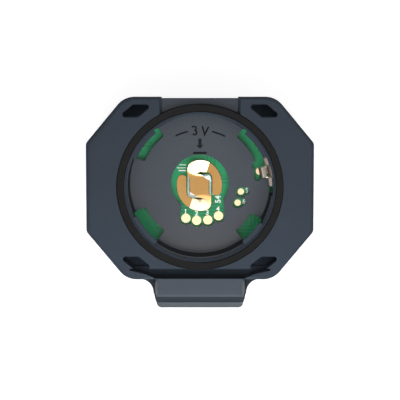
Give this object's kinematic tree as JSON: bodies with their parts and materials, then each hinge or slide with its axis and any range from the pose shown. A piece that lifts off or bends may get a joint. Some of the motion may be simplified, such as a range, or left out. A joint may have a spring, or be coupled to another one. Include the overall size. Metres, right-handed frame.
{
  "type": "bike speed sensor",
  "caption": "Flat eight-sided hub sensor with an open round coin-cell bay, S-shaped and side spring contacts, strap eyes at the corners and a strap hook at one end.",
  "frame": {"origin": "where the axis of the coin-cell bay meets the flat front face", "axes": "+Z along the bay's axis, out of the open battery side; -Y towards the strap hook; +X to the right when looking into the bay with the hook below"},
  "size_m": [0.0332, 0.0318, 0.0081],
  "materials": {
    "housing_plastic": "fine textured moulding",
    "seal_rubber": "matte",
    "board_green": "green solder mask",
    "gold_plate": "gold plated",
    "nickel_plate": "nickel plated",
    "solder": "reflowed solder",
    "chip_black": "moulded epoxy",
    "can_silver": "plated can",
    "ceramic_white": "fired ceramic",
    "ceramic_tan": "fired ceramic",
    "ferrite_grey": "pressed ferrite",
    "tantalum_yellow": "moulded epoxy",
    "resistor_black": "glazed film",
    "lamp_clear": "clear epoxy",
    "window_clear": "clear moulding"
  },
  "bodies": {
    "sensor_body": {"rear_housing": "housing_plastic", "front_housing": "housing_plastic", "bay_seal_ring": "seal_rubber", "circuit_board": "board_green", "negative_contact_feet": "gold_plate", "negative_contact_arms": "gold_plate", "negative_contact_lands": "solder", "positive_contact_base": "nickel_plate", "positive_contact_land": "gold_plate", "programming_pads": "gold_plate", "test_pads": "gold_plate", "radio_chip": "chip_black", "motion_sensor": "chip_black", "main_crystal": "can_silver", "watch_crystal": "can_silver", "chip_antenna": "ceramic_white", "power_inductor": "ferrite_grey", "reservoir_capacitor": "tantalum_yellow", "ceramic_capacitors": "ceramic_tan", "resistors": "resistor_black", "status_lamp": "lamp_clear", "light_window": "window_clear"},
    "negative_contact": {"negative_contact_table": "gold_plate"},
    "positive_contact": {"positive_contact_leaf": "nickel_plate"}
  },
  "joints": [
    {"name": "negative_contact_press", "type": "slide", "parent": "sensor_body", "child": "negative_contact", "axis": [0, 0, -1], "range_m": [0, 0.00045], "stiffness_N_per_m": 1500, "deforming": ["negative_contact_arms"]},
    {"name": "positive_contact_press", "type": "slide", "parent": "sensor_body", "child": "positive_contact", "axis": [0.9816, 0.1908, 0], "range_m": [0, 0.0007], "stiffness_N_per_m": 1000}
  ]
}
